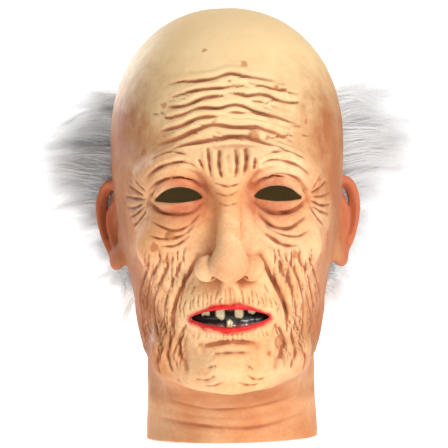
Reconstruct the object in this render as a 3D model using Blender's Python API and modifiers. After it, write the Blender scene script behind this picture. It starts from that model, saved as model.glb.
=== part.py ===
"""Full-head latex mask of a calm, bald old man with white side hair, shaped as worn but empty.

Metres, +Z up. The face looks along -Y and the wearer's left is +X. The origin lies under the middle of the
mask, on the plane of its neck rim, which is the flat face that it stands on.

One form, a head lofted through level sections with its features pressed into it, is worked out first. Every
piece is taken from it: the latex skin is that surface with its wall inside, and the fur backings, the fur pile
and the mouth tray are layers at their own depth over or under it, so they fit whatever size the head is.
"""

import math

import bmesh
import bpy
from mathutils import Matrix, Vector

# Driving sizes of the head
HEAD_WIDTH = 0.160
HEAD_HEIGHT = 0.258  # chin to crown
HEAD_DEPTH = 0.202  # forehead to back of the head
CHIN_HEIGHT = 0.038  # chin above the cut rim of the neck

# Latex skin
SKIN = 0.002
GLUE_GAP = 0.0003  # clearance between two pieces that are glued together

# Openings in the skin
EYE_HOLE_WIDTH = 0.031
EYE_HOLE_HEIGHT = 0.012
NOSTRIL_RADIUS = 0.0035
MOUTH_HOLE_WIDTH = 0.054
MOUTH_HOLE_HEIGHT = 0.013

# Ears
EAR_HEIGHT = 0.062
EAR_WIDTH = 0.036
EAR_THICKNESS = 0.011
EAR_SPREAD = math.radians(32)  # how far each ear stands off the head
EAR_STANDOFF = 0.005
EAR_Y = 0.012

# Mouth tray and its teeth
TRAY_WIDTH = 0.066
TRAY_HEIGHT = 0.032
TRAY_SETBACK = 0.0034  # how far the tray's front edge lies behind the face, more than the skin where that slopes
TRAY_POCKET = 0.0060  # room between the skin and the tray's floor
TRAY_WALL = 0.0025
TOOTH_HEIGHT = 0.0105
TOOTH_WIDTH = 0.0062
TOOTH_DEPTH = 0.0040
TOOTH_PITCH = 0.0072
UPPER_TEETH = {  # place along the row in pitches from the middle, then shares of the width and the height
    "upper_tooth_r3": (-3.12, 0.85, 0.85),
    "upper_tooth_r2": (-2.12, 0.95, 0.95),
    "upper_tooth_r1": (-0.92, 1.10, 1.15),
    "upper_tooth_l1": (0.80, 1.05, 1.10),
    "upper_tooth_l2": (1.90, 0.90, 0.85),
    "upper_tooth_l3": (2.88, 0.80, 0.70),
}
LOWER_TEETH = {"lower_tooth": (-0.08, 0.85, 0.75)}
TEETH_TOP = TOOTH_HEIGHT  # top of the upper teeth above the middle of the mouth
TEETH_FOOT = 0.93 * TOOTH_HEIGHT  # foot of the lower teeth below it

# Fur
BACKING = 0.0012
NAPE_PILE = 0.019
TUFT_REACH = 0.142  # from the middle of the head to the tips of a side tuft
SIDE_FRONT = 0.030  # front edge of a side strip, behind the ear
SIDE_BACK = 0.062  # where the side strips end and the nape strip begins
HAIR_TOP = CHIN_HEIGHT + 0.7675 * HEAD_HEIGHT
HAIR_FOOT = CHIN_HEIGHT + 0.2560 * HEAD_HEIGHT

# The form's mesh
FRONT_SEGMENTS = 28
BACK_SEGMENTS = 16
RING_STEP = 0.0072

# Where the features of a head sit by the usual drawing rules, in metres above the rim
THIRD = HEAD_HEIGHT / 3.5
EYE_Z = CHIN_HEIGHT + HEAD_HEIGHT / 2
NOSE_BASE_Z = CHIN_HEIGHT + THIRD
BROW_Z = CHIN_HEIGHT + 2 * THIRD
MOUTH_Z = NOSE_BASE_Z - THIRD / 3
EYE_X = HEAD_WIDTH / 5
EAR_Z = (NOSE_BASE_Z + BROW_Z) / 2

HALF_W = HEAD_WIDTH / 2
HALF_D = HEAD_DEPTH / 2
FAR = 0.4  # longer than the whole mask, for cutters that run out of it

# Level sections of the head below the skull's widest height. Heights are shares of the head's height above the
# chin, then come half the width, and the front, middle and back in shares of half the depth, and how square the
# front of the section is (2 is an ellipse)
SKULL_SHARE = 0.647
SECTIONS = (
    (-0.200, 0.745, -0.38, 0.17, 0.70, 2.0),
    (-0.100, 0.735, -0.38, 0.17, 0.69, 2.0),
    (-0.055, 0.725, -0.45, 0.15, 0.68, 2.0),
    (-0.020, 0.720, -0.66, 0.12, 0.67, 1.9),
    (0.010, 0.720, -0.85, 0.10, 0.66, 1.8),
    (0.070, 0.735, -0.93, 0.08, 0.65, 1.8),
    (0.140, 0.770, -0.92, 0.07, 0.65, 1.9),
    (0.200, 0.800, -0.95, 0.07, 0.66, 2.0),
    (0.286, 0.850, -0.93, 0.08, 0.71, 2.1),
    (0.360, 0.900, -0.91, 0.09, 0.78, 2.2),
    (0.440, 0.945, -0.91, 0.11, 0.86, 2.3),
    (0.520, 0.980, -0.93, 0.13, 0.94, 2.3),
    (0.590, 0.997, -0.94, 0.14, 0.99, 2.3),
    (SKULL_SHARE, 1.000, -0.92, 0.14, 1.00, 2.2),
)
CROWN_FULLNESS = 2.15

# Features pressed into the front: middle across and up, reach across and up, and how far they stand out, in
# shares of half the width, the height, half the width, the height and half the depth
FEATURES = {
    "nose_root": (0.00, 0.480, 0.13, 0.050, 0.045),
    "nose_bridge": (0.00, 0.410, 0.16, 0.055, 0.135),
    "nose_tip": (0.00, 0.330, 0.20, 0.040, 0.245),
    "nose_wing": (0.21, 0.314, 0.13, 0.032, 0.080),
    "eye_socket": (0.40, 0.505, 0.24, 0.036, -0.085),
    "brow": (0.34, 0.570, 0.32, 0.026, 0.040),
    "cheekbone": (0.55, 0.400, 0.24, 0.050, 0.050),
    "cheek_hollow": (0.55, 0.230, 0.20, 0.050, -0.035),
    "lips": (0.00, 0.192, 0.34, 0.030, 0.040),
    "lip_groove": (0.00, 0.128, 0.30, 0.018, -0.030),
    "chin": (0.00, 0.060, 0.28, 0.034, 0.040),
}


def new_collection(name):
    collection = bpy.data.collections.new(name)
    bpy.context.scene.collection.children.link(collection)
    return collection


def clear_scene():
    for thing in list(bpy.data.objects):
        bpy.data.objects.remove(thing)


def material(name, colour, roughness, metallic=0.0):
    made = bpy.data.materials.new(name)
    made.use_nodes = True
    shader = made.node_tree.nodes["Principled BSDF"]
    shader.inputs["Base Color"].default_value = (*colour, 1.0)
    shader.inputs["Roughness"].default_value = roughness
    shader.inputs["Metallic"].default_value = metallic
    return made


def add_object(name, mesh, collection):
    made = bpy.data.objects.new(name, mesh)
    collection.objects.link(made)
    return made


def from_bmesh(name, shape, collection):
    mesh = bpy.data.meshes.new(name)
    shape.to_mesh(mesh)
    shape.free()
    return add_object(name, mesh, collection)


def evaluated_mesh(thing):
    """The mesh of an object with its modifiers applied."""
    bpy.context.view_layer.update()
    graph = bpy.context.evaluated_depsgraph_get()
    return bpy.data.meshes.new_from_object(thing.evaluated_get(graph))


def bake(thing):
    """Applies an object's modifiers to its mesh."""
    mesh = evaluated_mesh(thing)
    thing.modifiers.clear()
    thing.data = mesh
    return thing


def boolean(thing, operation, other):
    modifier = thing.modifiers.new(f"{operation.lower()}_{other.name}", "BOOLEAN")
    modifier.operation = operation
    modifier.solver = "EXACT"
    modifier.object = other
    return thing


def block(name, low, high, collection):
    """A box between two corners."""
    shape = bmesh.new()
    bmesh.ops.create_cube(shape, size=1.0)
    size = Vector(high) - Vector(low)
    bmesh.ops.scale(shape, vec=size, verts=shape.verts)
    bmesh.ops.translate(shape, vec=(Vector(low) + Vector(high)) / 2, verts=shape.verts)
    return from_bmesh(name, shape, collection)


def oval_punch(name, centre, width, height, length, axis, collection, sides=28):
    """An oval rod that cuts a hole: width across, height up, and length along the axis."""
    shape = bmesh.new()
    bmesh.ops.create_cone(
        shape, cap_ends=True, segments=sides, radius1=0.5, radius2=0.5, depth=1.0
    )
    bmesh.ops.scale(shape, vec=(width, height, length), verts=shape.verts)
    turn = Vector((0, 0, 1)).rotation_difference(Vector(axis)).to_matrix()
    bmesh.ops.rotate(shape, matrix=turn, verts=shape.verts)
    bmesh.ops.translate(shape, vec=centre, verts=shape.verts)
    return from_bmesh(name, shape, collection)


def section_at(share):
    """Half width, front, middle, back and squareness of the head at a height, eased through the sections."""
    if share >= SKULL_SHARE:
        rise = min((share - SKULL_SHARE) / (1 - SKULL_SHARE), 1.0)
        shrink = (1 - rise**CROWN_FULLNESS) ** (1 / CROWN_FULLNESS)
        _, width, front, middle, back, square = SECTIONS[-1]
        return width * shrink, middle + (front - middle) * shrink, middle, middle + (back - middle) * shrink, square
    share = max(share, SECTIONS[0][0])  # the skirt runs straight on below the lowest section
    spot = max(n for n in range(len(SECTIONS) - 1) if SECTIONS[n][0] <= share)
    rows = [SECTIONS[min(max(spot + step, 0), len(SECTIONS) - 1)] for step in (-1, 0, 1, 2)]
    t = (share - rows[1][0]) / (rows[2][0] - rows[1][0])
    weights = (
        (-t + 2 * t**2 - t**3) / 2,
        (2 - 5 * t**2 + 3 * t**3) / 2,
        (t + 4 * t**2 - 3 * t**3) / 2,
        (t**3 - t**2) / 2,
    )
    return [sum(w * row[column] for w, row in zip(weights, rows)) for column in range(1, 6)]


def feature_push(x, share):
    """How far the features push the front of the head out, in metres."""
    total = 0.0
    for across, up, reach_x, reach_z, push in FEATURES.values():
        for middle in {across, -across}:
            a = (x / HALF_W - middle) / reach_x
            b = (share - up) / reach_z
            total += push * HALF_D * math.exp(-a * a - b * b)
    return total


def head_spot(angle, share):
    """A point of the head's outside: the angle is 0 at the wearer's left and -90 degrees at the face."""
    width, front, middle, back, square = section_at(share)
    across, along = math.cos(angle), math.sin(angle)
    power = 2 / (square if along < 0 else 2.0)
    x = width * HALF_W * math.copysign(abs(across) ** power, across)
    depth = (middle - front) if along < 0 else (back - middle)
    y = middle * HALF_D + depth * HALF_D * math.copysign(abs(along) ** power, along)
    if along < 0:
        y -= feature_push(x, share) * min(1.0, 1.6 * -along)
    return Vector((x, y, CHIN_HEIGHT + share * HEAD_HEIGHT))


def head_form(cutters):
    """The outside of the head as one closed surface, from the crown to below the rim."""
    count = FRONT_SEGMENTS + BACK_SEGMENTS
    angles = [-math.pi + math.pi * n / FRONT_SEGMENTS for n in range(FRONT_SEGMENTS)]
    angles += [math.pi * n / BACK_SEGMENTS for n in range(BACK_SEGMENTS)]
    foot = -(CHIN_HEIGHT + 0.008) / HEAD_HEIGHT
    steps = round((SKULL_SHARE - foot) * HEAD_HEIGHT / RING_STEP)
    shares = [foot + (SKULL_SHARE - foot) * n / steps for n in range(steps)]
    dome = round((1 - SKULL_SHARE) * HEAD_HEIGHT * 1.3 / RING_STEP / 1.4)
    shares += [SKULL_SHARE + (1 - SKULL_SHARE) * math.sin(math.pi / 2 * n / dome) for n in range(dome)]
    shape = bmesh.new()
    rings = [[shape.verts.new(head_spot(angle, share)) for angle in angles] for share in shares]
    for low, high in zip(rings, rings[1:]):
        for near in range(count):
            far = (near + 1) % count
            shape.faces.new((low[near], low[far], high[far], high[near]))
    for ring, centre in ((rings[0], head_spot(0, foot)), (rings[-1], head_spot(0, 1.0))):
        middle = sum((v.co.y for v in ring)) / count
        cap = shape.verts.new((0, middle, centre.z))
        for near in range(count):
            shape.faces.new((ring[near], ring[(near + 1) % count], cap))
    bmesh.ops.recalc_face_normals(shape, faces=shape.faces)
    bmesh.ops.triangulate(shape, faces=shape.faces)
    return from_bmesh("head_form", shape, cutters)


def grown_form(name, form, distance, cutters):
    """The head form with its surface moved out by a distance, or in where it is negative."""
    made = add_object(name, form.data.copy(), cutters)
    grow = made.modifiers.new("grow", "DISPLACE")
    grow.strength = distance
    grow.mid_level = 0.0
    return bake(made)


def set_back_form(name, form, distance, cutters):
    """The head form moved back as a whole. Where it faces forward, that leaves a layer of an even depth."""
    made = add_object(name, form.data.copy(), cutters)
    made.data.transform(Matrix.Translation((0, distance, 0)))
    return made


def surface_spot(form, x, z):
    """Where the front of the form is, straight ahead of a point of its middle plane."""
    found, spot, _, _ = form.ray_cast(Vector((x, -FAR, z)), Vector((0, 1, 0)))
    return spot


def ear_body(name, form, side, collection, grow=0.0):
    """An ear as a soft cage: a cupped oval leaf that leans back and stands off the head."""
    _, hinge, _, _ = form.ray_cast(Vector((FAR, EAR_Y, EAR_Z)), Vector((-1, 0, 0)))
    shape = bmesh.new()
    bmesh.ops.create_uvsphere(shape, u_segments=20, v_segments=12, radius=0.5)
    for corner in shape.verts:
        x, y, z = corner.co
        narrowing = 1.0 if z > 0 else 1.0 + 0.9 * z
        cup = -0.9 * (1 - 4 * y * y) * (1 - 4 * z * z) * 0.35
        corner.co = (
            (x + cup) * (EAR_THICKNESS + 2 * grow),
            y * narrowing * (EAR_WIDTH + 2 * grow),
            z * (EAR_HEIGHT + 2 * grow),
        )
    lean = Matrix.Rotation(math.radians(-10), 3, "X")
    spread = Matrix.Rotation(-EAR_SPREAD, 3, "Z")
    bmesh.ops.rotate(shape, matrix=spread @ lean, verts=shape.verts)
    bmesh.ops.translate(shape, vec=hinge + Vector((EAR_STANDOFF, 0, 0)), verts=shape.verts)
    if side < 0:
        bmesh.ops.scale(shape, vec=(-1, 1, 1), verts=shape.verts)
        bmesh.ops.reverse_faces(shape, faces=shape.faces)
    return from_bmesh(name, shape, collection)


def build_skin(form, cutters, mask, latex):
    """The one-piece latex skin: open at the neck, with eye, nostril and mouth holes, and its ears."""
    skin = add_object("head_skin", form.data.copy(), mask)
    boolean(skin, "DIFFERENCE", grown_form("wearer_room", form, -SKIN, cutters))
    boolean(skin, "DIFFERENCE", block("rim_cut", (-FAR, -FAR, -FAR), (FAR, FAR, 0), cutters))
    bake(skin)
    for side, word in ((1, "left"), (-1, "right")):
        boolean(skin, "UNION", ear_body(f"{word}_ear", form, side, cutters))
        eye = (side * EYE_X, -HALF_D, EYE_Z)
        hole = oval_punch(
            f"{word}_eye_hole", eye, EYE_HOLE_WIDTH, EYE_HOLE_HEIGHT, 0.1, (0, 1, 0), cutters
        )
        boolean(skin, "DIFFERENCE", hole)
        nostril = surface_spot(form, 0.0, NOSE_BASE_Z + 0.012) + Vector((side * 0.0085, 0.0125, -0.012))
        hole = oval_punch(
            f"{word}_nostril",
            nostril,
            2 * NOSTRIL_RADIUS,
            2 * NOSTRIL_RADIUS,
            0.030,
            (0, 0.2, 1),
            cutters,
            14,
        )
        boolean(skin, "DIFFERENCE", hole)
    mouth = (0, -HALF_D, MOUTH_Z)
    hole = oval_punch(
        "mouth_hole", mouth, MOUTH_HOLE_WIDTH, MOUTH_HOLE_HEIGHT, 0.05, (0, 1, 0), cutters
    )
    boolean(skin, "DIFFERENCE", hole)
    bake(skin)
    skin.data.materials.clear()
    skin.data.materials.append(latex)
    skin.data.shade_smooth()
    return skin


def build_mouth_tray(form, cutters, mask, gum):
    """A shallow tray glued inside the skin round the mouth hole. Its floor carries the teeth."""
    seat = set_back_form("tray_seat", form, TRAY_SETBACK, cutters)
    floor = set_back_form("tray_floor", form, TRAY_SETBACK + TRAY_POCKET, cutters)
    back = set_back_form("tray_back", form, TRAY_SETBACK + TRAY_POCKET + TRAY_WALL, cutters)
    half_w, half_h = TRAY_WIDTH / 2, TRAY_HEIGHT / 2
    tray = block(
        "mouth_tray",
        (-half_w, -2 * HALF_D, MOUTH_Z - half_h),
        (half_w, -0.2 * HALF_D, MOUTH_Z + half_h),
        mask,
    )
    in_w, in_h = half_w - TRAY_WALL, half_h - TRAY_WALL
    pocket = block(
        "tray_pocket",
        (-in_w, -3 * HALF_D, MOUTH_Z - in_h),
        (in_w, -0.1 * HALF_D, MOUTH_Z + in_h),
        cutters,
    )
    boolean(pocket, "DIFFERENCE", floor)
    bake(pocket)
    boolean(tray, "INTERSECT", seat)
    boolean(tray, "DIFFERENCE", back)
    boolean(tray, "DIFFERENCE", pocket)
    bake(tray)
    tray.data.materials.clear()
    tray.data.materials.append(gum)
    return tray


def build_teeth(form, cutters, mask, enamel):
    """Separate cast teeth, each glued by its back to the tray's floor, with gaps where teeth are missing."""
    room = set_back_form("tooth_room", form, TRAY_SETBACK, cutters)
    foot = set_back_form("tooth_foot", form, TRAY_SETBACK + TRAY_POCKET - 2 * GLUE_GAP, cutters)
    for row, upper in ((UPPER_TEETH, True), (LOWER_TEETH, False)):
        for name, (place, wide, tall) in row.items():
            half = tall * TOOTH_HEIGHT / 2
            height = MOUTH_Z + TEETH_TOP - half if upper else MOUTH_Z - TEETH_FOOT + half
            step = wide * TOOTH_WIDTH / 2
            x = place * TOOTH_PITCH
            turn = surface_spot(foot, x + step, height) - surface_spot(foot, x - step, height)
            angle = math.atan2(turn.y, turn.x)
            shape = bmesh.new()
            bmesh.ops.create_cube(shape, size=1.0)
            size = (wide * TOOTH_WIDTH, 2 * TOOTH_DEPTH, tall * TOOTH_HEIGHT)
            bmesh.ops.scale(shape, vec=size, verts=shape.verts)
            bmesh.ops.rotate(shape, matrix=Matrix.Rotation(angle, 3, "Z"), verts=shape.verts)
            bmesh.ops.translate(shape, vec=surface_spot(foot, x, height), verts=shape.verts)
            tooth = from_bmesh(name, shape, mask)
            rounding = tooth.modifiers.new("rounding", "BEVEL")
            rounding.width = 0.3 * wide * TOOTH_WIDTH
            rounding.segments = 2
            boolean(tooth, "DIFFERENCE", foot)
            boolean(tooth, "INTERSECT", room)
            bake(tooth)
            tooth.data.materials.clear()
            tooth.data.materials.append(enamel)


def layer(name, inner, outer, area, collection):
    """What lies between two grown forms inside a block."""
    made = add_object(name, area.data.copy(), collection)
    boolean(made, "INTERSECT", outer)
    boolean(made, "DIFFERENCE", inner)
    return bake(made)


def side_outline(name, side, front, top, foot, cutters):
    """A strip's outline seen from the side, run outwards from inside the head: its corners are cut off."""
    corner = 0.018
    outline = (
        (front, foot + corner),
        (front + corner, foot),
        (SIDE_BACK, foot),
        (SIDE_BACK, top - corner / 2),
        (SIDE_BACK - corner / 2, top),
        (front + corner, top),
        (front, top - corner),
    )
    shape = bmesh.new()
    rows = [
        [shape.verts.new((side * x, y, z)) for y, z in outline] for x in (0.3 * HALF_W, 2 * HALF_W)
    ]
    count = len(outline)
    for near in range(count):
        far = (near + 1) % count
        shape.faces.new((rows[0][near], rows[0][far], rows[1][far], rows[1][near]))
    shape.faces.new(rows[0])
    shape.faces.new(rows[1])
    bmesh.ops.recalc_face_normals(shape, faces=shape.faces)
    return from_bmesh(name, shape, cutters)


def tuft_body(name, side, collection):
    """A side tuft before the head is taken out of it: a cage that fans out from the strip to a blunt tip."""
    middle = (SIDE_FRONT + SIDE_BACK) / 2
    half = (SIDE_BACK - SIDE_FRONT) / 2
    stations = (  # distance out, lowest and highest point, share of the strip's depth
        (0.55 * HALF_W, HAIR_FOOT + 0.012, HAIR_TOP + 0.004, 1.0),
        (0.95 * HALF_W, HAIR_FOOT - 0.004, HAIR_TOP + 0.012, 1.0),
        (0.74 * TUFT_REACH, HAIR_FOOT + 0.014, HAIR_TOP + 0.002, 0.95),
        (TUFT_REACH, 0.55 * HAIR_FOOT + 0.45 * HAIR_TOP, 0.20 * HAIR_FOOT + 0.80 * HAIR_TOP, 0.7),
    )
    shape = bmesh.new()
    rings = []
    for out, low, high, share in stations:
        corners = ((-1, low), (1, low), (1, (low + high) / 2), (1, high), (-1, high), (-1, (low + high) / 2))
        rings.append([shape.verts.new((side * out, middle + y * share * half, z)) for y, z in corners])
    for inner, outer in zip(rings, rings[1:]):
        for near in range(len(inner)):
            far = (near + 1) % len(inner)
            shape.faces.new((inner[near], inner[far], outer[far], outer[near]))
    for end in (rings[0], rings[-1]):
        shape.faces.new((end[0], end[1], end[2], end[5]))
        shape.faces.new((end[5], end[2], end[3], end[4]))
    bmesh.ops.recalc_face_normals(shape, faces=shape.faces)
    made = from_bmesh(name, shape, collection)
    soft = made.modifiers.new("soft", "SUBSURF")
    soft.levels = 2
    soft.render_levels = 2
    return bake(made)


def head_oval(name, grow, collection):
    """An oval that follows the back of the head at a distance."""
    shape = bmesh.new()
    bmesh.ops.create_uvsphere(shape, u_segments=32, v_segments=18, radius=1.0)
    size = (HALF_W + grow, 0.86 * HALF_D + grow, 0.43 * HEAD_HEIGHT + grow)
    bmesh.ops.scale(shape, vec=size, verts=shape.verts)
    bmesh.ops.translate(shape, vec=(0, 0.14 * HALF_D, CHIN_HEIGHT + 0.57 * HEAD_HEIGHT), verts=shape.verts)
    return from_bmesh(name, shape, collection)


def build_hair(form, cutters, mask, cloth, fur):
    """Three strips of long-pile fur fabric, each a woven backing glued to the latex and its pile."""
    under = grown_form("under_backing", form, GLUE_GAP, cutters)
    over = grown_form("over_backing", form, GLUE_GAP + BACKING, cutters)
    root = grown_form("pile_root", form, 2 * GLUE_GAP + BACKING, cutters)
    tips = head_oval("nape_tips", NAPE_PILE, cutters)
    made = []
    for side, word in ((1, "left"), (-1, "right")):
        ear_room = ear_body(f"{word}_ear_room", form, side, cutters, grow=4 * GLUE_GAP)
        behind = block(f"{word}_behind", (-FAR, SIDE_BACK, -FAR), (FAR, FAR, FAR), cutters)
        strip = side_outline(f"{word}_strip", side, SIDE_FRONT, HAIR_TOP, HAIR_FOOT, cutters)
        backing = layer(f"{word}_hair_backing", under, over, strip, mask)
        made.append((bake(boolean(backing, "DIFFERENCE", ear_room)), cloth))
        pile = tuft_body(f"{word}_hair_pile", side, mask)
        for cutter in (root, ear_room, behind):
            boolean(pile, "DIFFERENCE", cutter)
        made.append((bake(pile), fur))
    back = SIDE_BACK + 2 * GLUE_GAP
    area = block("nape_strip", (-HALF_W, back, HAIR_FOOT - 0.008), (HALF_W, FAR, HAIR_TOP - 0.012), cutters)
    made.append((layer("nape_hair_backing", under, over, area, mask), cloth))
    area = block(
        "nape_area", (-1.2 * HALF_W, back, HAIR_FOOT - 0.020), (1.2 * HALF_W, FAR, HAIR_TOP - 0.006), cutters
    )
    edge = area.modifiers.new("edge", "BEVEL")
    edge.width = 0.6 * NAPE_PILE
    edge.segments = 2
    made.append((layer("nape_hair_pile", root, tips, bake(area), mask), fur))
    for piece, finish in made:
        piece.data.materials.clear()
        piece.data.materials.append(finish)


def centre_over_origin(mask):
    """Hangs every piece from one empty and moves it, so that the origin is under the middle of the mask."""
    bpy.context.view_layer.update()
    graph = bpy.context.evaluated_depsgraph_get()
    reach = []
    for piece in mask.objects:
        shown = piece.evaluated_get(graph)
        reach += [(shown.matrix_world @ Vector(corner)).y for corner in shown.bound_box]
    stand = bpy.data.objects.new("mask_origin", None)
    mask.objects.link(stand)
    for piece in list(mask.objects):
        if piece is not stand:
            piece.parent = stand
    stand.location.y = -(min(reach) + max(reach)) / 2


def main():
    clear_scene()
    mask = new_collection("old_man_mask")
    cutters = new_collection("cutters")
    latex = material("latex", (0.86, 0.60, 0.36), 0.48)
    gum = material("gum_paint", (0.10, 0.05, 0.06), 0.25)
    enamel = material("tooth_enamel", (0.88, 0.82, 0.55), 0.25)
    cloth = material("fur_backing", (0.75, 0.74, 0.70), 0.9)
    fur = material("white_fur", (0.90, 0.91, 0.92), 0.8)

    form = head_form(cutters)
    build_skin(form, cutters, mask, latex)
    build_mouth_tray(form, cutters, mask, gum)
    build_teeth(form, cutters, mask, enamel)
    build_hair(form, cutters, mask, cloth, fur)
    centre_over_origin(mask)

    for cutter in cutters.objects:
        cutter.hide_render = True
        cutter.display_type = "WIRE"


main()
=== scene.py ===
"""An over-head latex mask of a calm old man with white side hair, standing empty on its neck rim.

The pieces come in the order in which a maker puts the mask together: the latex casting and its paint, the
mouth tray behind the lips, the teeth, the woven fur backings and their pile. The table and lights come last.
Sizes of the head are in millimetres, as on a sculptor's drawing. The rest is in metres.
"""

import math

import bpy
import numpy as np
from mathutils import Matrix, Vector
from mathutils.bvhtree import BVHTree
from mathutils.noise import noise


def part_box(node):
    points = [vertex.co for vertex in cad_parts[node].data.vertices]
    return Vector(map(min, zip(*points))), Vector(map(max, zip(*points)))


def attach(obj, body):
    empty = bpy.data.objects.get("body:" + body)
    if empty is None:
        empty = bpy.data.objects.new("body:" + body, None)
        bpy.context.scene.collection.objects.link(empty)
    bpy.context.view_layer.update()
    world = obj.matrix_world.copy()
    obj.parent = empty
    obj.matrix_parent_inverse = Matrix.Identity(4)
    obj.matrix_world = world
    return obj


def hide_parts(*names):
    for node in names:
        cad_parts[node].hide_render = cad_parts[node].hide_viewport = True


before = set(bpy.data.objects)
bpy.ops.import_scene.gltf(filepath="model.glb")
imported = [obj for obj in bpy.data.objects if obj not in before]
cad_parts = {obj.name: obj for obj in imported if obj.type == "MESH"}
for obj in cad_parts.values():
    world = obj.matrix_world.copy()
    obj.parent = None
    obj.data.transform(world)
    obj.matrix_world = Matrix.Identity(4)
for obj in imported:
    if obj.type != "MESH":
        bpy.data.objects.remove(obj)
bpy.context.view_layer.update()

# ------------------------------------------------------------
# The latex casting: skull, face, ears and neck skirt in one skin, 2.3 mm thick and open below.
# It is modelled in clay on a grid, hollowed out, cut open at the eyes, nostrils, mouth and neck, and then its
# wrinkles are drawn in with a tool.
MM = 0.001
GRAIN = 1.0  # from one point of the clay's grid to the next
HALF_W, HALF_D, HEIGHT, CHIN = 80.0, 101.0, 258.0, 38.0
SKULL = 0.647  # share of the height where the skull is widest and the crown begins
CROWN_FULLNESS = 2.15
WALL = 2.3
BACK_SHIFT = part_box("head_skin")[1][1] / MM - HALF_D  # from the head's own middle to the mask's

# height above the chin, half width, front, middle and back in shares, and squareness of the front
LEVELS = np.array(
    (
        (-0.200, 0.745, -0.38, 0.17, 0.70, 2.0),
        (-0.100, 0.735, -0.38, 0.17, 0.69, 2.0),
        (-0.055, 0.725, -0.45, 0.15, 0.68, 2.0),
        (-0.020, 0.720, -0.66, 0.12, 0.67, 1.9),
        (0.010, 0.720, -0.85, 0.10, 0.66, 1.8),
        (0.070, 0.735, -0.93, 0.08, 0.65, 1.8),
        (0.140, 0.770, -0.92, 0.07, 0.65, 1.9),
        (0.200, 0.800, -0.95, 0.07, 0.66, 2.0),
        (0.286, 0.850, -0.93, 0.08, 0.71, 2.1),
        (0.360, 0.900, -0.91, 0.09, 0.78, 2.2),
        (0.440, 0.945, -0.91, 0.11, 0.86, 2.3),
        (0.520, 0.980, -0.93, 0.13, 0.94, 2.3),
        (0.590, 0.997, -0.94, 0.14, 0.99, 2.3),
        (SKULL, 1.000, -0.92, 0.14, 1.00, 2.2),
    )
)
# middle across and up, reach across and up, and how far each broad form stands out of the front
BROAD_FORMS = (
    (0.00, 0.410, 0.17, 0.070, 0.030),
    (0.40, 0.505, 0.25, 0.038, -0.095),
    (0.34, 0.572, 0.34, 0.026, 0.045),
    (0.55, 0.400, 0.26, 0.055, 0.055),
    (0.58, 0.250, 0.20, 0.060, -0.045),
    (0.00, 0.200, 0.36, 0.055, 0.040),
    (0.00, 0.060, 0.28, 0.036, 0.040),
    (0.80, 0.640, 0.20, 0.060, -0.020),
)


def eased(table, at):
    """Rows of a table read at any height, along smooth curves through its own rows."""
    spot = np.clip(np.searchsorted(table[:, 0], at, side="right") - 1, 0, len(table) - 2)
    t = ((at - table[spot, 0]) / (table[spot + 1, 0] - table[spot, 0]))[:, None]
    rows = [table[np.clip(spot + step, 0, len(table) - 1), 1:] for step in (-1, 0, 1, 2)]
    weights = (-t + 2 * t**2 - t**3, 2 - 5 * t**2 + 3 * t**3, t + 4 * t**2 - 3 * t**3, t**3 - t**2)
    return sum(weight * row for weight, row in zip(weights, rows)) / 2


grid_x = np.arange(-104, 105, GRAIN, dtype=np.float32)
grid_y = np.arange(-126, 106, GRAIN, dtype=np.float32)
grid_z = np.arange(-4, 300, GRAIN, dtype=np.float32)
grids = (grid_x, grid_y, grid_z)


def raw_head():
    """The head without its small forms: how far each point of the grid is outside it, negative inside."""
    x, y = grid_x[:, None, None], grid_y[None, :, None]
    share = (grid_z - CHIN) / HEIGHT
    level = eased(LEVELS, np.minimum(share, SKULL)).astype(np.float32)
    width = level[:, 0] * HALF_W
    front, middle, back = (level[:, n] * HALF_D for n in (1, 2, 3))
    ahead = y < middle
    depth = np.where(ahead, middle - front, back - middle)
    power = np.where(ahead, level[:, 4], np.float32(2.0))
    push = np.zeros((len(grid_x), 1, len(grid_z)), np.float32)
    for across, up, reach_x, reach_z, out in BROAD_FORMS:
        for side in {across, -across}:
            a, b = (x / HALF_W - side) / reach_x, (share - up) / reach_z
            push += out * HALF_D * np.exp(-a * a - b * b)
    turned = (y - middle + push * np.clip(1.6 * (middle - y) / depth, 0, 1)) / depth
    ring = (np.abs(x / width) ** power + np.abs(turned) ** power) ** (1 / power)
    rise = np.clip((share - SKULL) / (1 - SKULL), 0, None).astype(np.float32)
    body = (ring**CROWN_FULLNESS + rise**CROWN_FULLNESS) ** (1 / CROWN_FULLNESS)
    slope = np.sqrt(sum(g * g for g in np.gradient(body, GRAIN)))
    return ((body - 1) / np.maximum(slope, 0.004)).astype(np.float32)


def work(clay, low, high, tool, blend, carve=False):
    """Adds a form to the clay inside a box, or carves it away, and smooths the seam over the blend."""
    part = tuple(
        slice(max(int((a - grid[0]) / GRAIN), 0), max(int((b - grid[0]) / GRAIN) + 2, 0))
        for a, b, grid in zip(low, high, grids)
    )
    place = [grid[cut] for grid, cut in zip(grids, part)]
    form = tool(place[0][:, None, None], place[1][None, :, None], place[2][None, None, :])
    here = clay[part]
    mix = np.clip(0.5 + 0.5 * ((form + here) if carve else (form - here)) / blend, 0, 1)
    if carve:
        clay[part] = here * mix - form * (1 - mix) + blend * mix * (1 - mix)
    else:
        clay[part] = form * (1 - mix) + here * mix - blend * mix * (1 - mix)


def ovoid(clay, side, centre, radii, rows, blend, carve):
    """One oval lump or hollow, lying in the frame that the rows give."""

    def tool(x, y, z):
        p = (side * x - centre[0], y - centre[1], z - centre[2])
        local = [sum(row[n] * p[n] for n in range(3)) for row in rows]
        far = np.sqrt(sum((a / r) ** 2 for a, r in zip(local, radii)))
        near = np.sqrt(sum((a / r**2) ** 2 for a, r in zip(local, radii)))
        return far * (far - 1) / np.maximum(near, 1e-4)

    reach = max(radii) + 1.5 * blend + 2 * GRAIN
    middle = (side * centre[0], centre[1], centre[2])
    work(clay, [c - reach for c in middle], [c + reach for c in middle], tool, blend, carve)


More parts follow.
